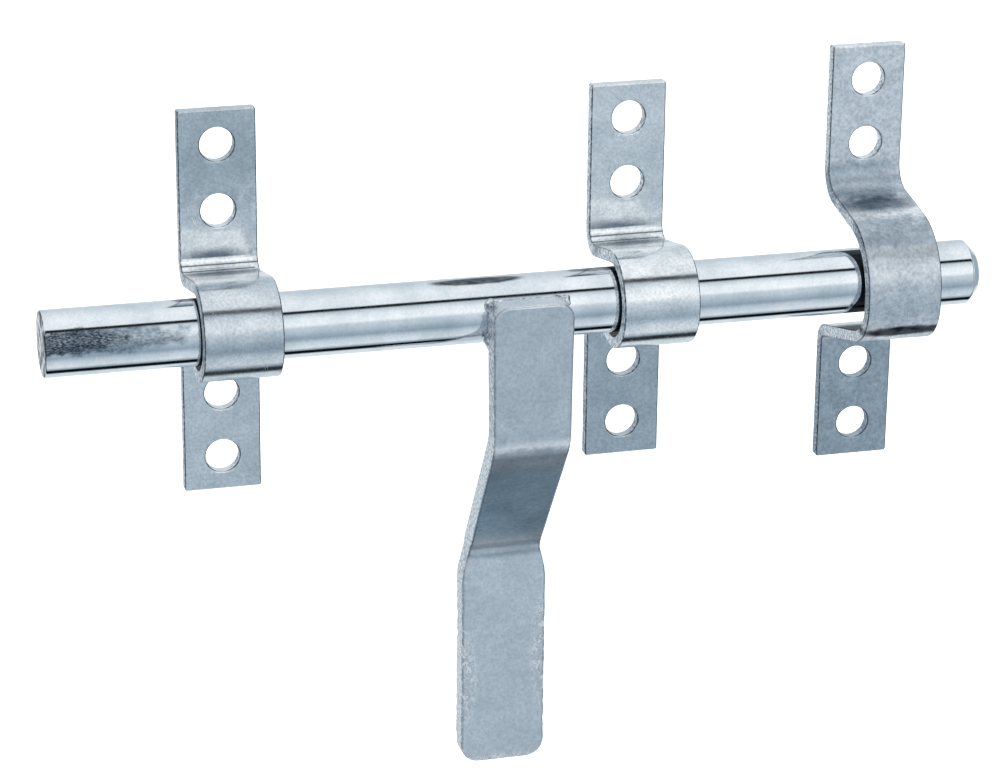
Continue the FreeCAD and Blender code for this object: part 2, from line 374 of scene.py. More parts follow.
def painted_edge_reflection(finish, tone, strength):
    """A thin painted dark reflection along the rounded corner where face and side meet."""
    tree = finish["tree"]
    facing = add_node(tree, "ShaderNodeSeparateXYZ", inputs=[finish["normal"]]).outputs
    turned = add_node(tree, *ABSOLUTE, [facing["X"]])
    not_in_hole = share_of(finish, add_node(tree, *ABSOLUTE, [facing["Y"]]), 0.02, 0.15)
    past_face = share_of(finish, turned, 0.10, 0.30)
    before_side = share_of(finish, turned, 0.97, 0.80)
    ragged = share_of(finish, pattern(finish, 0.9), 0.3, 0.55, 0.35 * strength, strength)
    tint(finish, product(finish, past_face, before_side, not_in_hole, ragged), linear(tone))


def shade_inside_loop(finish, reach_mm, tone):
    """Painted shade on the inner face of a loop, which looks towards the rod's axis."""
    tree = finish["tree"]
    from_axis = add_node(tree, *V_SUBTRACT, [finish["place"], (0.0, AXIS_Y, 0.0)])
    across = add_node(tree, *V_MULTIPLY, [from_axis, (0.0, 1.0, 1.0)])
    far = add_node(tree, *V_LENGTH, [across])
    outward = add_node(tree, "ShaderNodeVectorMath", {"operation": "NORMALIZE"}, [across])
    facing = add_node(tree, "ShaderNodeVectorMath", {"operation": "DOT_PRODUCT"}, [outward, finish["normal"]])
    limit = add_node(tree, *MULTIPLY_ADD, [pattern(finish, 3.0, detail=3.0), 4.0 * MM, far])
    near = share_of(finish, limit, (reach_mm + 3.0) * MM, (reach_mm - 2.0) * MM, 0.0, 0.93)
    inside = product(finish, share_of(finish, facing, -0.1, -0.6), near)
    tint(finish, inside, linear(tone))
    roughen(finish, inside, 0.25)


def stain(finish, centre, radii_mm, tone, strength, ragged=0.5, mottle_mm=1.0, mottle=0.0, rougher=0.1,
          front_only=False, full_at=0.75):
    """Multiplies the metal's colour by a tone in a soft-edged ellipsoid around a centre."""
    tree = finish["tree"]
    edge = add_node(tree, *SUBTRACT, [pattern(finish, 2.5, detail=3.0), 0.5])
    far = add_node(tree, *MULTIPLY_ADD, [edge, ragged, from_centre(finish, centre, radii_mm)])
    amount = share_of(finish, far, 1.05, full_at, 0.0, strength)
    if mottle:
        specks = pattern(finish, mottle_mm, stretch=(2, 1, 1), detail=3.0)
        amount = product(finish, amount, share_of(finish, specks, 0.4, 0.6, 1.0 - mottle, 1.0))
    if front_only:
        facing = add_node(tree, "ShaderNodeSeparateXYZ", inputs=[finish["normal"]]).outputs["Y"]
        amount = product(finish, amount, share_of(finish, facing, 0.0, -0.5))
    finish["colour"] = add_node(tree, "ShaderNodeMix", {"data_type": "RGBA", "blend_type": "MULTIPLY"},
                                {0: amount, 6: finish["colour"], 7: linear(tone)})
    roughen(finish, amount, rougher)


def flecks(finish, centre, radii_mm, size_mm):
    """Small bright nicks where the piece was hammered or knocked, in an ellipsoid around a centre."""
    near = share_of(finish, from_centre(finish, centre, radii_mm), 1.0, 0.55)
    nicks = pattern(finish, size_mm, stretch=(1, 1, 1.6))
    mark = product(finish, near, share_of(finish, nicks, 0.51, 0.57))
    tint(finish, mark, linear("FFFFFF"))
    roughen(finish, mark, 0.2)
    raise_by(finish, mark, -0.15)


def plated(finish):
    """Links the stacked layers to the shader and gives the material."""
    tree = finish["tree"]
    bump = add_node(tree, "ShaderNodeBump",
                    inputs={"Strength": 1.0, "Distance": 1.0, "Height": finish["height"]})
    shader = tree.nodes["Principled BSDF"]
    shader.inputs["Metallic"].default_value = 1.0
    for label, source in (("Base Color", finish["colour"]), ("Roughness", finish["rough"]), ("Normal", bump)):
        tree.links.new(live_output(source), shader.inputs[label])
    print("finish", finish["material"].name, "with", len(tree.nodes), "nodes")
    return finish["material"]


# %% [markdown]
# ### Rod: bright zinc on drawn bar
# The rod keeps clear reflections, broken only by the drawing lines and a slight cloudiness.
# Its left end is the rough saw cut, with torn dark metal, and the rod is mottled behind it from
# being held there. A lens-shaped mark on top of the rod beside the handle is a painted dark
# reflection, and so is the dark mark on top of the rod in front of each guide. The marks have no
# thickness, so they are colour in the finish and not shapes.

# %% Rod finish
handle_low, handle_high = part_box("drop_handle")
handle_x = (handle_high[0] + handle_low[0]) / 2

rod_finish = zinc("bright_zinc_on_drawn_bar", "E9EDF0", "D3DBE0", 0.085, 9.0)
grain(rod_finish, 0.7, 0.0006, 0.06)
drawn_lines(rod_finish, 0.45, 50, 0.0009)
rough_sides(rod_finish, "11171C", "FFFFFF", 2.8, 0.05, left_only=True)
tail_x, tip_x = rod_low[0], rod_high[0]
front_y = AXIS_Y - ROD_RADIUS
# Handling marks at the tail: a dark one close to the cut, inside a wider, paler one.
stain(rod_finish, (tail_x + 4 * MM, front_y, 2.5 * MM), (16.0, 4.6, 3.0), "3E4B57", 0.95,
      ragged=1.0, mottle_mm=0.35, mottle=0.55, rougher=0.05)
stain(rod_finish, (tail_x + 12 * MM, front_y, 2.3 * MM), (25.0, 4.4, 3.1), "8997A3", 0.95,
      ragged=0.9, mottle_mm=0.45, mottle=0.35, rougher=0.05)
# Painted dark reflection on top of the rod, to the left of the handle.
DARK_REFLECTION_TONE = "323D48"
stain(rod_finish, (handle_x - 11.0 * MM, AXIS_Y - 1.4 * MM, ROD_RADIUS), (12.0, 1.8, 3.0), DARK_REFLECTION_TONE, 1.0,
      ragged=0.3, mottle_mm=1.6, mottle=0.15)
# Painted dark reflection of the guide's loop on top of the rod, at the mouth of each guide.
for guide, length_mm, width_mm in (("guide_strap_inner", 7.5, 2.0), ("guide_strap_outer", 3.6, 1.6)):
    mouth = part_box(guide)[0][0]
    middle = (mouth - 0.6 * length_mm * MM, AXIS_Y + 0.6 * MM, ROD_RADIUS)
    stain(rod_finish, middle, (length_mm, width_mm, 3.0), DARK_REFLECTION_TONE, 0.9,
          ragged=0.4, mottle_mm=1.6, mottle=0.2)
ROD_FINISH = plated(rod_finish)

# %% [markdown]
# ### Straps: satin zinc on rolled strip
# The strap's faces are satin and cloudy, and its sheared sides are torn and mottled. A thin
# dark line where the two meet is a painted dark reflection of the rounded edge. Painted shade
# darkens the tight hollow above each loop and the inner face of each loop, which looks at the
# rod. Each strap is also greyer by its own listed amounts on its lower leg, its upper end and its
# loop. The keeper came from another batch. Its zinc is coarser and more matt, so its loop shows
# no clear reflections. Both batches share one function for these marks, which reads each
# strap's place from the frame.

# %% Strap finishes
# Where the middle of the painted shade in the hollow above each loop is, as (y, z).
SHADED_HOLLOWS = {
    "guide_strap_outer": (AXIS_Y + 13.5 * MM, 9.6 * MM),
    "guide_strap_inner": (AXIS_Y + 13.5 * MM, 9.6 * MM),
    "keeper_strap": (AXIS_Y + 8.5 * MM, 16.8 * MM),
}
# How dull the lower leg, the upper end and the loop of each strap are, from 0 to 1.
DULLNESS = {
    "guide_strap_outer": (0.10, 0.55, 0.50),
    "guide_strap_inner": (0.60, 0.0, 0.15),
    "keeper_strap": (0.85, 0.0, 0.45),
}
DULL_TONE = "B1BEC7"


def strap_layers(finish, nodes):
    """The marks that every strap has: torn sides, a painted dark edge line, painted shade inside the loop and
    in the hollow above it, and the greyer places.
    """
    rough_sides(finish, "95A1AB", "FCFDFE", 0.7, 0.012)
    # A thin painted dark reflection along each rounded edge.
    painted_edge_reflection(finish, "3A444D", 0.9)
    # Painted shade on the inner face of each loop.
    shade_inside_loop(finish, 21.0, "1E252B")
    for node in nodes:
        low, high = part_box(node)
        x = (low[0] + high[0]) / 2
        lower, upper, loop = DULLNESS[node]
        # Painted shade in the tight hollow above the loop.
        stain(finish, (x - 0.6 * MM, *SHADED_HOLLOWS[node]), (12.5, 5.6, 3.8), "4F6578", 0.95,
              ragged=0.4, mottle_mm=3.0, mottle=0.15, full_at=0.45)
        stain(finish, (x, 0.0, low[2] + 14.0 * MM), (22.0, 12.0, 26.0), DULL_TONE, lower, ragged=0.4)
        stain(finish, (x, 0.0, high[2]), (22.0, 12.0, 28.0), DULL_TONE, upper, ragged=0.6)
        stain(finish, (x, AXIS_Y - 8.0 * MM, 4.0 * MM), (22.0, 12.0, 18.0), DULL_TONE, loop, ragged=0.6)


strap_finish = zinc("satin_zinc_on_rolled_strip", "F4F6F7", "DFE4E7", 0.14, 7.0)
grain(strap_finish, 0.7, 0.007, 0.15)
scratches(strap_finish, (22, -48, 75), 0.03)
strap_layers(strap_finish, ("guide_strap_outer", "guide_strap_inner"))
STRAP_FINISH = plated(strap_finish)

keeper_low, keeper_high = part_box("keeper_strap")
keeper_finish = zinc("matt_zinc_on_rolled_strip", "F4F6F8", "DCE2E6", 0.36, 5.0)
grain(keeper_finish, 0.9, 0.012, 0.20)
scratches(keeper_finish, (14, -56, 80), 0.20)
strap_layers(keeper_finish, ("keeper_strap",))
keeper_x = (keeper_low[0] + keeper_high[0]) / 2
# It is greyer at the upper bend and over the top of the loop.
stain(keeper_finish, (keeper_x, -5.0 * MM, 19.0 * MM), (22.0, 7.0, 6.0), "B6C2CC", 0.8, ragged=0.4)
stain(keeper_finish, (keeper_x, AXIS_Y - 6.0 * MM, 14.0 * MM), (24.0, 9.0, 4.0), "BCC7CF", 0.7, ragged=0.6)
# The sharp heel of its loop rubbed through to a dark line along the lower front corner.
stain(keeper_finish, (keeper_x + 1.2 * MM, AXIS_Y - 8.0 * MM, -10.4 * MM), (14.5, 4.6, 2.0), "1D262E", 1.0,
      ragged=0.25, mottle_mm=1.5, mottle=0.15)
KEEPER_FINISH = plated(keeper_finish)

# %% [markdown]
# ### Handle and welds
# The handle was forged hot, so its zinc is matt and its edges are the roughest, with bright
# nicks where the grip was hammered. The front of its cranked part faces down and gets painted
# blue-grey shade, and a band of painted shade dims the highlight across each bend. Weld metal
# solidifies in ripples and drops of spatter. Plated, it glitters: its two tones are far apart,
# partly its own uneven colour and partly painted glints, and its grain is coarse.

# %% Handle and weld finishes
handle_finish = zinc("satin_zinc_on_forged_bar", "F1F3F5", "DFE4E8", 0.27, 9.0)
grain(handle_finish, 0.8, 0.006, 0.12)
scratches(handle_finish, (14, -62), 0.05)
rough_sides(handle_finish, "A9B4BD", "FFFFFF", 0.7, 0.012)
# A thin painted dark reflection along the rounded edges.
painted_edge_reflection(handle_finish, "5E6A75", 0.35)
stain(handle_finish, (handle_x, front_y, -8.0 * MM), (24.0, 12.0, 30.0), DULL_TONE, 0.3, ragged=0.6)
# Painted blue-grey shade on the front of the cranked part, which faces down.
stain(handle_finish, (handle_x, AXIS_Y, -49.0 * MM), (26.0, 16.0, 19.5), "AACADD", 0.9, ragged=0.2,
      mottle_mm=1.3, mottle=0.25, front_only=True)
# Painted shade across each bend dims its highlight.
for bend_height in (-SHANK_END - 3.2 * MM, -CRANK_END - 0.5 * MM):
    stain(handle_finish, (handle_x, AXIS_Y, bend_height), (30.0, 20.0, 3.2), "B4BFC8", 0.8, ragged=0.3,
          front_only=True)
# Nicks along both sides of the grip and across its end.
grip_y = -8.5 * MM
flecks(handle_finish, (handle_high[0], grip_y, -97.0 * MM), (4.6, 8.0, 20.0), 0.7)
flecks(handle_finish, (handle_low[0], grip_y, -103.0 * MM), (4.6, 8.0, 17.0), 0.7)
flecks(handle_finish, (handle_x, grip_y, handle_low[2]), (12.0, 6.0, 2.2), 0.7)
HANDLE_FINISH = plated(handle_finish)

# The far-apart tones are partly the weld metal's own uneven colour and partly painted glints.
weld_finish = zinc("zinc_on_weld_metal", "F2F5F7", "6E7B86", 0.34, 1.1)
grain(weld_finish, 0.6, 0.06, 0.30)
WELD_FINISH = plated(weld_finish)

# %% [markdown]
# ## Bent strip
# A strap starts as a flat blank: cut from strip, holes punched, edges a little rounded by the
# rolls and the shears. Then a press bends it. The same two steps make it here. A filled 2D
# curve is the blank, because it gives the outline, the holes and the rounded edge in one go.
# Geometry Nodes then carries each point of the blank along the bend line. Modelling the bent
# shape directly would need a new mesh for each strap. Bending a blank needs only a new path.


# %% Path of a bend line
def bend_path(start, heading, moves, arc_step=math.radians(6), line_step=2.0 * MM):
    """Points (y, z) along a strip's mid-line, dense in the bends.

    moves are ("line", length) and ("bend", radius, degrees), where positive turns left.
    """
    y, z = start
    angle = math.radians(heading)
    points = [(y, z)]
    for kind, size, *degrees in moves:
        if kind == "line":
            count = max(1, round(size / line_step))
            for _ in range(count):
                y += size / count * math.cos(angle)
                z += size / count * math.sin(angle)
                points.append((y, z))
        else:
            turning = math.radians(degrees[0])
            count = max(2, round(abs(turning) / arc_step))
            side = math.copysign(1.0, turning)
            centre = (y - side * size * math.sin(angle), z + side * size * math.cos(angle))
            for _ in range(count):
                angle += turning / count
                y = centre[0] + side * size * math.sin(angle)
                z = centre[1] - side * size * math.cos(angle)
                points.append((y, z))
    return points


def lengths_along(points):
    """Distance of each point from the first, along the line."""
    stations = [0.0]
    for first, second in zip(points, points[1:]):
        stations.append(stations[-1] + math.dist(first, second))
    return stations


# %% Flat blank
def evaluated(holder):
    """Plain mesh of what an object and its modifiers make. The object is used up."""
    bpy.context.view_layer.update()
    mesh = bpy.data.meshes.new_from_object(holder.evaluated_get(bpy.context.evaluated_depsgraph_get()))
    bpy.data.objects.remove(holder)
    return mesh


def rounded_rectangle(half_widths, length, corner_start, corner_end, steps=6):
    """Outline points (x, s), counter-clockwise. half_widths is a list of (s, half width)."""
    right_side = []
    for number in range(steps + 1):
        turned = math.pi / 2 * number / steps
        right_side.append((half_widths[0][1] - corner_start * (1 - math.sin(turned)),
                           corner_start * (1 - math.cos(turned))))
    right_side += [(half, s) for s, half in half_widths[1:-1]]
    for number in range(steps + 1):
        turned = math.pi / 2 * number / steps
        right_side.append((half_widths[-1][1] - corner_end * (1 - math.cos(turned)),
                           length - corner_end * (1 - math.sin(turned))))
    return right_side + [(-x, s) for x, s in reversed(right_side)]


def flat_blank(name, outline, holes, thickness, edge_radius, stations, lane_width):
    """Plate in the XY plane with rounded edges, cut across at the stations and along in lanes."""
    curve = bpy.data.curves.new(name, "CURVE")
    curve.dimensions = "2D"
    curve.fill_mode = "BOTH"
    curve.extrude = thickness / 2 - edge_radius
    curve.bevel_depth = edge_radius
    curve.bevel_resolution = 2
    curve.offset = -edge_radius
    for ring in [outline] + holes:
        spline = curve.splines.new("POLY")
        spline.points.add(len(ring) - 1)
        for point, (x, y) in zip(spline.points, ring):
            point.co = (x, y, 0.0, 1.0)
        spline.use_cyclic_u = True
    mesh = evaluated(hold(name, curve))
    bpy.data.curves.remove(curve)

    shape = bmesh.new()
    shape.from_mesh(mesh)
    bmesh.ops.remove_doubles(shape, verts=shape.verts, dist=1e-6)
    half_width = max(abs(x) for x, _ in outline)
    lanes = int(half_width / lane_width)
    cuts = [(Vector((0, s, 0)), Vector((0, 1, 0))) for s in stations[1:-1]]
    cuts += [(Vector((lane * lane_width, 0, 0)), Vector((1, 0, 0))) for lane in range(-lanes, lanes + 1)]
    for place, normal in cuts:
        everything = shape.verts[:] + shape.edges[:] + shape.faces[:]
        bmesh.ops.bisect_plane(shape, geom=everything, plane_co=place, plane_no=normal, dist=1e-7)
    bmesh.ops.recalc_face_normals(shape, faces=shape.faces)
    for face in shape.faces:
        face.smooth = True
    shape.to_mesh(mesh)
    shape.free()
    return mesh


# %% Geometry Nodes tree that bends a blank
def shape_tree(name, **asked_for):
    """New Geometry Nodes tree. asked_for gives the kind of each input, such as Seed="Float"."""
    tree = bpy.data.node_groups.new(name, "GeometryNodeTree")
    for label, kind in asked_for.items():
        tree.interface.new_socket(label.replace("_", " "), in_out="INPUT", socket_type="NodeSocket" + kind)
    tree.interface.new_socket("Result", in_out="OUTPUT", socket_type="NodeSocketGeometry")
    return tree


def dress(tree, shape, finish):
    """Ends a tree: makes its instances real and gives them their finish."""
    real = add_node(tree, "GeometryNodeRealizeInstances", inputs=[shape])
    dressed = add_node(tree, "GeometryNodeSetMaterial", inputs={"Geometry": real, "Material": finish})
    add_node(tree, "NodeGroupOutput", inputs=[dressed])


BLOWS_PER_M = 520.0
FADE_IN = 12.0 * MM    # length over which the hammer blows come up to full depth


def bending_tree():
    """Carries a flat blank (X across, Y along, Z through it) onto a path in the YZ plane."""
    tree = shape_tree("bend_blank_along_path", Blank="Geometry", Path="Object", Finish="Material",
                      Unevenness="Float", Unevenness_Size="Float", Hammering="Float",
                      Hammering_Start="Float", Half_Width="Float", Seed="Float")
    given = add_node(tree, "NodeGroupInput").outputs
    flat = add_node(tree, "GeometryNodeInputPosition")
    axes = add_node(tree, "ShaderNodeSeparateXYZ", inputs=[flat]).outputs

    # Hammer blows along the edges of the grip: they fade to nothing towards the middle.
    finer = add_node(tree, "ShaderNodeTexNoise", {"noise_dimensions": "4D"},
                     {"Vector": flat, "W": given["Seed"], "Scale": BLOWS_PER_M, "Detail": 3.0})
    blow = add_node(tree, *SUBTRACT, [finer, 0.5])
    out_x = add_node(tree, *ABSOLUTE, [add_node(tree, *DIVIDE, [axes["X"], given["Half Width"]])])
    near_edge = add_node(tree, "ShaderNodeMath", {"operation": "POWER"}, [out_x, 6.0])
    full_blows = add_node(tree, *ADD, [given["Hammering Start"], FADE_IN])
    on_grip = add_node(tree, *BETWEEN, [axes["Y"], given["Hammering Start"], full_blows])
    strength = add_node(tree, *MULTIPLY, [near_edge, on_grip])
    strength = add_node(tree, *MULTIPLY, [strength, given["Hammering"]])
    shift = add_node(tree, *MULTIPLY, [blow, strength])
    moved = {}
    for axis in ("X", "Z"):
        outward = add_node(tree, *MULTIPLY, [shift, add_node(tree, *SIGN, [axes[axis]])])
        moved[axis] = add_node(tree, *ADD, [axes[axis], outward])

    # The width stays along X. The thickness stands square to the path.
    path = add_node(tree, "GeometryNodeObjectInfo", inputs=[given["Path"]]).outputs["Geometry"]
    sample = add_node(tree, "GeometryNodeSampleCurve", {"mode": "LENGTH"},
                      {"Curves": path, "Length": axes["Y"]}).outputs
    normal = add_node(tree, "ShaderNodeVectorMath", {"operation": "CROSS_PRODUCT"},
                      [(1.0, 0.0, 0.0), sample["Tangent"]])
    lift = add_node(tree, *V_SCALE, {0: normal, "Scale": moved["Z"]})
    aside = add_node(tree, "ShaderNodeCombineXYZ", inputs=[moved["X"]])
    place = add_node(tree, *V_ADD, [add_node(tree, *V_ADD, [sample["Position"], lift]), aside])

    # A slow unevenness of the whole strip, as rolling and bending leave it.
    softness = add_node(tree, *DIVIDE, [1.0, given["Unevenness Size"]])
    slow = add_node(tree, "ShaderNodeTexNoise", {"noise_dimensions": "4D"},
                    {"Vector": place, "W": given["Seed"], "Scale": softness, "Detail": 1.0}).outputs["Color"]
    centred = add_node(tree, *V_SUBTRACT, [slow, (0.5, 0.5, 0.5)])
    wave = add_node(tree, *V_SCALE, {0: centred, "Scale": given["Unevenness"]})
    bent = add_node(tree, "GeometryNodeSetPosition",
                    inputs={"Geometry": given["Blank"], "Position": place, "Offset": wave})
    dress(tree, bent, given["Finish"])
    return tree


BENDING = bending_tree()


def use_tree(holder, name, tree, **given):
    """Adds a Geometry Nodes modifier and sets its inputs by their sockets' identifiers."""
    modifier = holder.modifiers.new(name, "NODES")
    modifier.node_group = tree
    for item in tree.interface.items_tree:
        label = item.name.replace(" ", "_")
        if label in given and item.in_out == "INPUT":
            modifier[item.identifier] = given[label]


def finished(holder, name, body, node):
    """Turns a holder and its modifiers into a piece that stands for a CAD node."""
    mesh = evaluated(holder)
    mesh.name = name
    piece = hold(name, mesh)
    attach(piece, body)
    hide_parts(node)
    low = [min(v.co[i] for v in mesh.vertices) for i in range(3)]
    high = [max(v.co[i] for v in mesh.vertices) for i in range(3)]
    size = " x ".join(f"{(b - a) / MM:.1f}" for a, b in zip(low, high))
    print(f"{name} {len(mesh.polygons)} faces, {size} mm")
    return piece


WAVE_LENGTH = 14.0 * MM    # size of the slow unevenness


def bend(name, blank, path_points, x, finish, half_width, seed, unevenness_mm, hammering_mm=0.0,
         hammering_start=0.0):
    """Object that holds a blank and the modifiers that bend and dress it, and the bend's path."""
    path = bpy.data.curves.new(name + "_path", "CURVE")
    path.dimensions = "3D"
    spline = path.splines.new("POLY")
    spline.points.add(len(path_points) - 1)
    for point, (y, z) in zip(spline.points, path_points):
        point.co = (x, y, z, 1.0)
    path_object = hold(name + "_path", path)
    holder = hold(name + "_blank", blank)
    use_tree(holder, "bend", BENDING, Path=path_object, Finish=finish, Unevenness=unevenness_mm * MM,
             Unevenness_Size=WAVE_LENGTH, Hammering=hammering_mm * MM, Hammering_Start=hammering_start,
             Half_Width=half_width, Seed=float(seed))
    holder.modifiers.new("flat faces stay flat", "WEIGHTED_NORMAL").keep_sharp = True
    return holder, path_object


# %% [markdown]
# ## Straps
# The guides' loop is a ring, one clearance larger than the rod, pinched a little behind it. The
# keeper's loop is roomier and lopsided: a wide round crown above, a tighter heel below, and
# necks that flare towards the door. One function gives both, from the reach of each neck, the
# radius of each arc and the flare.


# %% Strap paths
def loop_corner(front, reach, arc_radius, flare, bend_radius):
    """The bend's height, the neck's length and the arc's height, above or below the rod axis."""
    slope = math.radians(flare)
    bend_y = STANDOFF - STRAP_THICKNESS / 2 - bend_radius
    arc_y = arc_radius - front
    bend_height = (reach + bend_radius + bend_y * math.sin(slope)) / math.cos(slope)
    arc_height = (reach - arc_radius + arc_y * math.sin(slope)) / math.cos(slope)
    neck = (bend_y - arc_y) * math.cos(slope) + (bend_height - arc_height) * math.sin(slope)
    return bend_height, neck, arc_height


def strap_moves(half_height, front, top, bottom):
    """Moves from the upper end to the lower. top and bottom are (reach, arc, flare, bend)."""
    upper_bend, upper_neck, upper_arc = loop_corner(front, *top)
    lower_bend, lower_neck, lower_arc = loop_corner(front, *bottom)
    moves = [
        ("line", half_height - upper_bend),
        ("bend", top[3], top[2] - 90),
        ("line", upper_neck),
        ("bend", top[1], 90 - top[2]),
        ("line", upper_arc + lower_arc),
        ("bend", bottom[1], 90 - bottom[2]),
        ("line", lower_neck),
        ("bend", bottom[3], bottom[2] - 90),
        ("line", half_height - lower_bend),
    ]
    return [move for move in moves if move[1] > 1e-6]


def circle(x, y, radius, count=40):
    """Hole outline, clockwise, so that the filled curve takes it as a hole."""
    turns = [-2 * math.pi * i / count for i in range(count)]
    return [(x + radius * math.cos(turned), y + radius * math.sin(turned)) for turned in turns]


STRAP_CORNER = 0.6 * MM       # corners of the blank
STRAP_EDGE = 0.35 * MM        # rounding of its long edges and of the holes
STRAP_LANE = 2.3 * MM         # spacing of the mesh lines along it
STRAP_WAVE_MM = 0.10


def strap(name, node, finish, front, top, bottom, seed):
    """One bent strap in its place. front is from the rod's axis to the loop's mid-line."""
    low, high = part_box(node)
    half_height = (high[2] - low[2]) / 2
    width = high[0] - low[0]
    centre_x = (high[0] + low[0]) / 2
    start = (-STRAP_THICKNESS / 2, half_height)
    points = bend_path(start, -90, strap_moves(half_height, front, top, bottom))
    stations = lengths_along(points)
    length = stations[-1]
    half_widths = [(0, width / 2), (length, width / 2)]
    outline = rounded_rectangle(half_widths, length, STRAP_CORNER, STRAP_CORNER)
    holes = []
    for near in (HOLE_EDGE, HOLE_EDGE + HOLE_PITCH):
        holes.append(circle(0, near, HOLE_DIAMETER / 2))
        holes.append(circle(0, length - near, HOLE_DIAMETER / 2))
    blank = flat_blank(name, outline, holes, STRAP_THICKNESS, STRAP_EDGE, stations, STRAP_LANE)
    holder, path = bend(name, blank, points, centre_x, finish, width / 2, seed, STRAP_WAVE_MM)
    piece = finished(holder, name, "straps", node)
    bpy.data.objects.remove(path)
    return piece


# %% Make the three straps
HALF = STRAP_THICKNESS / 2
RING = ROD_RADIUS + 1.0 * MM + HALF
guide_side = (RING, RING, -12.0, 3.0 * MM + HALF)
strap("outer_guide", "guide_strap_outer", STRAP_FINISH, RING, guide_side, guide_side, 3)
strap("inner_guide", "guide_strap_inner", STRAP_FINISH, RING, guide_side, guide_side, 11)

keeper_top = (ROD_RADIUS + 3.9 * MM + HALF, 14.0 * MM + HALF, 10.0, 6.0 * MM + HALF)
keeper_bottom = (ROD_RADIUS + 4.4 * MM + HALF, 8.5 * MM + HALF, 15.0, 2.0 * MM + HALF)
strap("keeper", "keeper_strap", KEEPER_FINISH, ROD_RADIUS + 1.2 * MM + HALF, keeper_top, keeper_bottom, 23)

# %% [markdown]
# ## Handle
# The handle is flat bar, cranked so that the grip hangs close to the door, with its ends
# rounded on a grinder and the grip forged a little wider. Hammering leaves the grip's long
# edges slightly ragged. It is bent from a blank in the same way as the straps.

# %% Make the handle
HANDLE_TOP_CORNER, HANDLE_END_CORNER = 4.0 * MM, 4.6 * MM
HANDLE_EDGE = 0.6 * MM
HANDLE_LANE = 2.0 * MM
HANDLE_WAVE_MM, HAMMERING_MM = 0.16, 0.9
grip_half = (handle_high[0] - handle_low[0]) / 2
handle_top = handle_high[2]
handle_bottom = -handle_low[2]
shank_y = front_y - WELD_GAP - HANDLE_THICKNESS / 2
fall = CRANK_END - SHANK_END
slant = math.atan2(CRANK_DEPTH, fall)
set_in = HANDLE_BEND_RADIUS * math.tan(slant / 2)
handle_moves = [
    ("line", handle_top + SHANK_END - set_in),
    ("bend", HANDLE_BEND_RADIUS, math.degrees(slant)),
    ("line", math.hypot(fall, CRANK_DEPTH) - 2 * set_in),
    ("bend", HANDLE_BEND_RADIUS, -math.degrees(slant)),
    ("line", handle_bottom - CRANK_END - set_in),
]
handle_points = bend_path((shank_y, handle_top), -90, handle_moves, line_step=1.5 * MM)
handle_stations = lengths_along(handle_points)
handle_length = handle_stations[-1]
grip_start = handle_length - (handle_bottom - CRANK_END)
half_widths = [
    (0, HANDLE_WIDTH / 2),
    (grip_start - 3.0 * MM, HANDLE_NECK_WIDTH / 2),
    (grip_start + 1.0 * MM, HANDLE_NECK_WIDTH / 2 + 0.1 * MM),
    (grip_start + 6.5 * MM, grip_half - 0.2 * MM),
    (grip_start + 9.0 * MM, grip_half),
    (handle_length, grip_half),
]
handle_outline = rounded_rectangle(half_widths, handle_length, HANDLE_TOP_CORNER, HANDLE_END_CORNER)
handle_blank = flat_blank("handle", handle_outline, [], HANDLE_THICKNESS, HANDLE_EDGE, handle_stations,
                          HANDLE_LANE)
handle_holder, handle_path = bend("handle", handle_blank, handle_points, handle_x, HANDLE_FINISH, grip_half,
                                  5, HANDLE_WAVE_MM, HAMMERING_MM, grip_start)
finished(handle_holder, "handle", "handle", "drop_handle")
bpy.data.objects.remove(handle_path)

# %% [markdown]
# ## Rod
# The rod is drawn round bar. Drawing leaves it bright and very slightly wavy along its length,
# which is what bends the reflected lines. One end is blunt and a little burred from the saw,
# the other is chamfered so that it finds its way into the keeper. Rings of points along X are
# the simplest mesh for it, with each ring's radius taken from the turned profile.

# %% Make the rod
ROUND = 128                   # points in a ring
TIP_LENGTH = 2.4 * MM
TIP_DEPTH = 2.5 * MM
TAIL_ROUNDING = 0.5 * MM
WAVINESS = 0.02 * MM          # what drawing leaves
WAVES_ALONG, WAVES_AROUND = 25, 0.8    # waves in a metre, and over the rod's radius
EVEN_RINGS = 120


def rod_radius(x):
    """The turned profile, with softened corners."""
    from_tail = x - tail_x
    from_tip = tip_x - x
    if from_tail < TAIL_ROUNDING:
        return ROD_RADIUS - TAIL_ROUNDING * (1 - math.sqrt(1 - (1 - from_tail / TAIL_ROUNDING) ** 2))
    if from_tip < TIP_LENGTH:
        return ROD_RADIUS - TIP_DEPTH * (1 - from_tip / TIP_LENGTH)
    return ROD_RADIUS


def rod_stations():
    """Places of the rings: close together on the rounded tail and on the chamfer."""
    tail = [tail_x + TAIL_ROUNDING * (i / 5) ** 2 for i in range(6)]
    first = tail_x + 2 * TAIL_ROUNDING
    last = tip_x - TIP_LENGTH - 0.4 * MM
    even = [first + (last - first) * i / EVEN_RINGS for i in range(EVEN_RINGS + 1)]
    tip = [tip_x - TIP_LENGTH * (1 - i / 6) for i in range(7)]
    return tail + even + tip


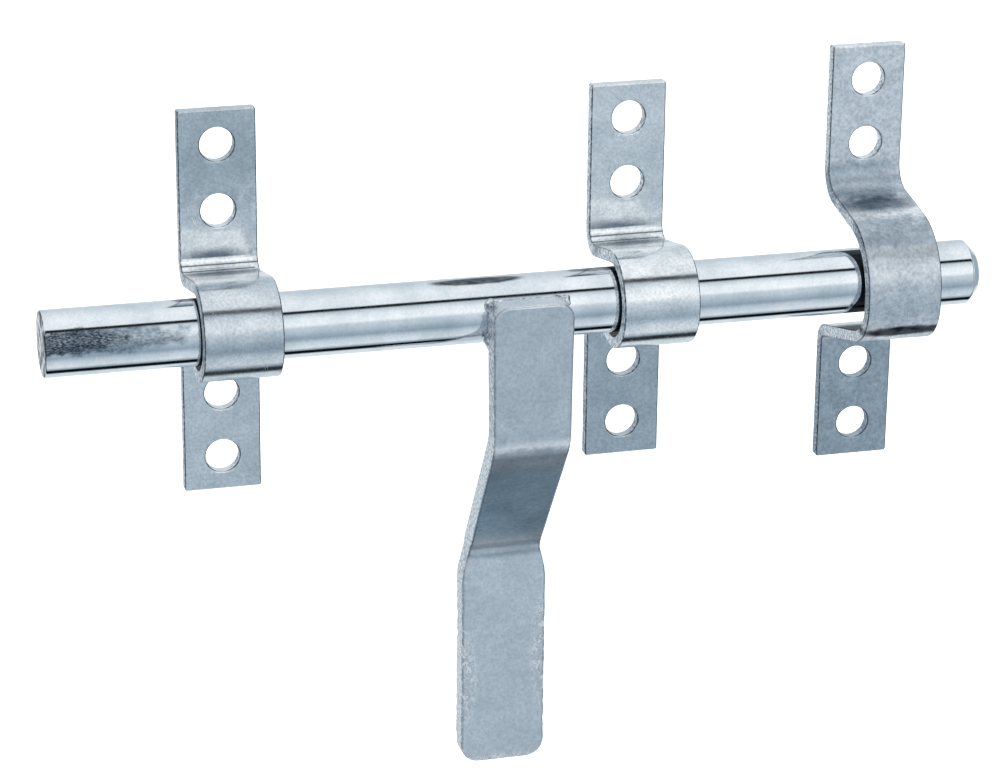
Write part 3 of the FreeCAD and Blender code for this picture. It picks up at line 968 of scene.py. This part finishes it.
rod_mesh = bpy.data.meshes.new("rod")
rod_shape = bmesh.new()
previous = None
for x in rod_stations():
    ring = []
    for step in range(ROUND):
        turned = 2 * math.pi * step / ROUND
        around = (math.cos(turned) * WAVES_AROUND, math.sin(turned) * WAVES_AROUND)
        radius = rod_radius(x) + WAVINESS * noise.noise(Vector((x * WAVES_ALONG, *around)))
        ring.append(rod_shape.verts.new((x, AXIS_Y + radius * math.cos(turned), radius * math.sin(turned))))
    if previous:
        for step in range(ROUND):
            after = (step + 1) % ROUND
            rod_shape.faces.new((previous[step], previous[after], ring[after], ring[step]))
    else:
        rod_shape.faces.new(list(ring))
    previous = ring
rod_shape.faces.new(list(reversed(previous)))
bmesh.ops.recalc_face_normals(rod_shape, faces=rod_shape.faces)
for face in rod_shape.faces:
    face.smooth = len(face.verts) == 4
rod_shape.to_mesh(rod_mesh)
rod_shape.free()
rod_mesh.materials.append(ROD_FINISH)
rod_holder = hold("rod_holder", rod_mesh)
rod_holder.modifiers.new("flat ends stay flat", "WEIGHTED_NORMAL")
finished(rod_holder, "rod", "rod", "slide_rod")

# %% [markdown]
# ## Welds
# Two short fillet welds hold the handle, in the wedges above and below the line where its flat
# back meets the round bar. A weld is a row of small pools that froze one over the next, and
# that is how it is made: Geometry Nodes puts a flattened drop at each step along the seam,
# each a little different, with a fat drop where the welder started. A voxel remesh then melts
# them into one closed skin.


# %% Geometry Nodes tree that lays a bead
def bead_tree():
    """Lays drops from Start to End. The modifier also hands over its own, empty mesh."""
    tree = shape_tree("lay_weld_bead", Empty_Mesh="Geometry", Start="Vector", End="Vector", Step="Float",
                      Radius="Float", Start_Drop_Radius="Float", Seed="Int", Finish="Material")
    given = add_node(tree, "NodeGroupInput").outputs

    seam = add_node(tree, "GeometryNodeCurvePrimitiveLine",
                    inputs={"Start": given["Start"], "End": given["End"]})
    pools = add_node(tree, "GeometryNodeCurveToPoints", {"mode": "LENGTH"},
                     {"Curve": seam, "Length": given["Step"]}).outputs["Points"]
    drop = add_node(tree, "GeometryNodeMeshIcoSphere", inputs={"Radius": 1.0, "Subdivisions": 4})
    uneven = add_node(tree, "FunctionNodeRandomValue", {"data_type": "FLOAT_VECTOR"},
                      {0: (0.8, 0.85, 0.85), 1: (1.05, 1.1, 1.2), "Seed": given["Seed"]})
    size = add_node(tree, *V_SCALE, {0: uneven, "Scale": given["Radius"]})
    turned = add_node(tree, "FunctionNodeRandomValue", {"data_type": "FLOAT_VECTOR"},
                      {0: (-0.2, -0.2, -0.3), 1: (0.2, 0.2, 0.3), "Seed": given["Seed"]})
    row = add_node(tree, "GeometryNodeInstanceOnPoints",
                   inputs={"Points": pools, "Instance": drop, "Rotation": turned, "Scale": size})
    fat = add_node(tree, "GeometryNodeMeshIcoSphere",
                   inputs={"Radius": given["Start Drop Radius"], "Subdivisions": 4})
    first = add_node(tree, "GeometryNodeTransform",
                     inputs={"Geometry": fat, "Translation": given["Start"], "Scale": (0.8, 1.0, 1.15)})
    both = add_node(tree, "GeometryNodeJoinGeometry", inputs=[row])
    tree.links.new(first.outputs[0], both.inputs[0])
    dress(tree, both, given["Finish"])
    return tree


# %% Make the welds
BEADS = bead_tree()
OVERRUN = 0.6 * MM    # how far a bead runs past the handle's sides
DROP_STEP = 1.3 * MM
MELT_SIZE = 0.22 * MM
LUMP_MM, LUMPS_PER_M = 0.35, 900
handle_back = front_y - WELD_GAP


def weld(name, node, height_mm, behind_mm, radius_mm, drop_mm, seed):
    """Bead along the handle's back, its middle behind_mm behind the back, clear of the rod."""
    seam_y = handle_back + behind_mm * MM
    reach = HANDLE_WIDTH / 2 + OVERRUN
    start = (handle_x - reach + 0.8 * drop_mm * MM, seam_y, height_mm * MM)
    end = (handle_x + reach - 0.9 * radius_mm * MM, seam_y, height_mm * MM)
    holder = hold(name + "_seam", bpy.data.meshes.new(name + "_seam"))
    use_tree(holder, "lay bead", BEADS, Start=start, End=end, Step=DROP_STEP, Radius=radius_mm * MM,
             Start_Drop_Radius=drop_mm * MM, Seed=seed, Finish=WELD_FINISH)
    melt = holder.modifiers.new("melt together", "REMESH")
    melt.mode = "VOXEL"
    melt.voxel_size = MELT_SIZE
    melt.use_smooth_shade = True
    piece = finished(holder, name, "handle", node)
    piece.data.materials.clear()
    piece.data.materials.append(WELD_FINISH)
    keep_out = ROD_RADIUS + WELD_GAP
    for vertex in piece.data.vertices:
        lump = noise.noise(vertex.co * LUMPS_PER_M + Vector((seed, 0, 0)))
        vertex.co += vertex.normal * LUMP_MM * MM * lump
        from_axis = Vector((0.0, vertex.co.y - AXIS_Y, vertex.co.z))
        if from_axis.length < keep_out:
            vertex.co += from_axis.normalized() * (keep_out - from_axis.length)


weld("weld_upper", "weld_bead_upper", 3.2, 0.5, 1.4, 1.7, 4)
weld("weld_lower", "weld_bead_lower", -5.4, 0.7, 2.0, 2.3, 9)
